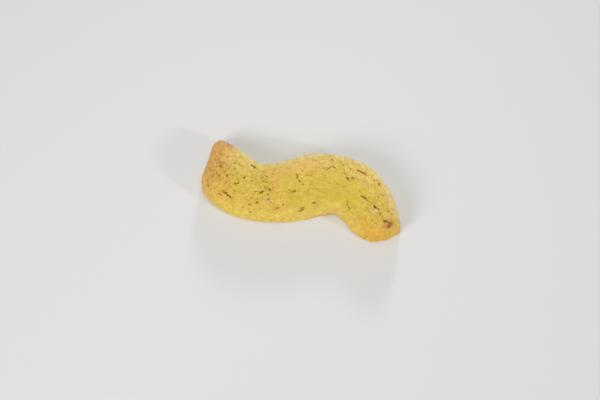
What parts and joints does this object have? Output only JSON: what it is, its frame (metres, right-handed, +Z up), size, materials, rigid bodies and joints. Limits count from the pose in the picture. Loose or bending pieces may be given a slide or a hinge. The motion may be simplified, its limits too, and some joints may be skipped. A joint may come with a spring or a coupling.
{
  "type": "pistachio cookie",
  "caption": "Hand-rolled nut cookie baked in a lazy S, with one pinched tip, one blunt end, a domed top and a flat underside that it rests on.",
  "frame": {"origin": "middle of the cookie's plan, on the flat underside that it rests on", "axes": "+X along the cookie's long way, from the pinched tip to the blunt end; +Z up, out of the domed top; the tip lies towards +Y"},
  "size_m": [0.0785, 0.0315, 0.0128],
  "materials": {
    "baked_dough": "matte, dry and crumbly baked nut dough, green-gold with a browner tip and end"
  },
  "bodies": {
    "root": {"cookie": "baked_dough"}
  },
  "joints": []
}
